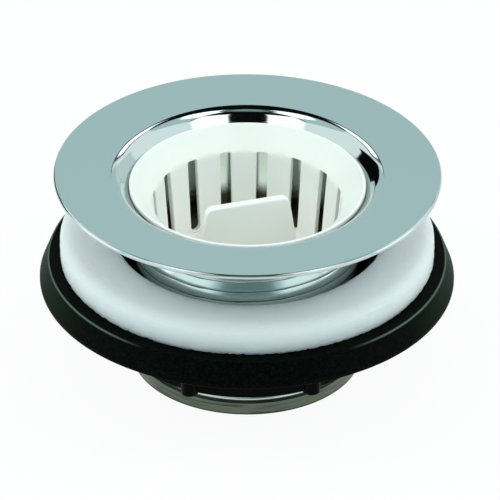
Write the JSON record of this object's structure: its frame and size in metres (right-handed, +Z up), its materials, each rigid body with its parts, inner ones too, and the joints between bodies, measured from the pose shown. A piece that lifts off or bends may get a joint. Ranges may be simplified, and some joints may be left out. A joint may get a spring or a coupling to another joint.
{
  "type": "basket strainer waste",
  "caption": "Flanged plated sink waste with a lift-out slotted strainer basket, foam and rubber sealing washers and a ribbed backnut on its threaded tail.",
  "frame": {"origin": "centre of the lower end of the threaded tail, on which the waste stands", "axes": "+Z up along the waste's axis from the tail to the flange, -Y towards the viewer"},
  "size_m": [0.086, 0.086, 0.044],
  "materials": {
    "chromed_brass": "polished plate",
    "white_moulding": "satin",
    "white_foam": "closed-cell foam",
    "black_rubber": "moulded matt",
    "black_moulding": "satin"
  },
  "bodies": {
    "waste": {"waste_body": "chromed_brass", "strainer_basket": "white_moulding"},
    "washers": {"foam_washer": "white_foam", "rubber_washer": "black_rubber"},
    "nut": {"backnut": "black_moulding"}
  },
  "joints": [
    {"name": "washer_slide", "type": "slide", "parent": "waste", "child": "washers", "axis": [0, 0, 1], "range_m": [-0.00577, 0.01039]},
    {"name": "nut_turn", "type": "hinge", "parent": "washers", "child": "nut", "pos_m": [0, 0, 0.01285], "axis": [0, 0, 1], "range_deg": [-901, 1621]}
  ],
  "couplings": [
    {"joint": "nut_turn", "follows": "washer_slide", "rad_per_m": 2721.2}
  ]
}
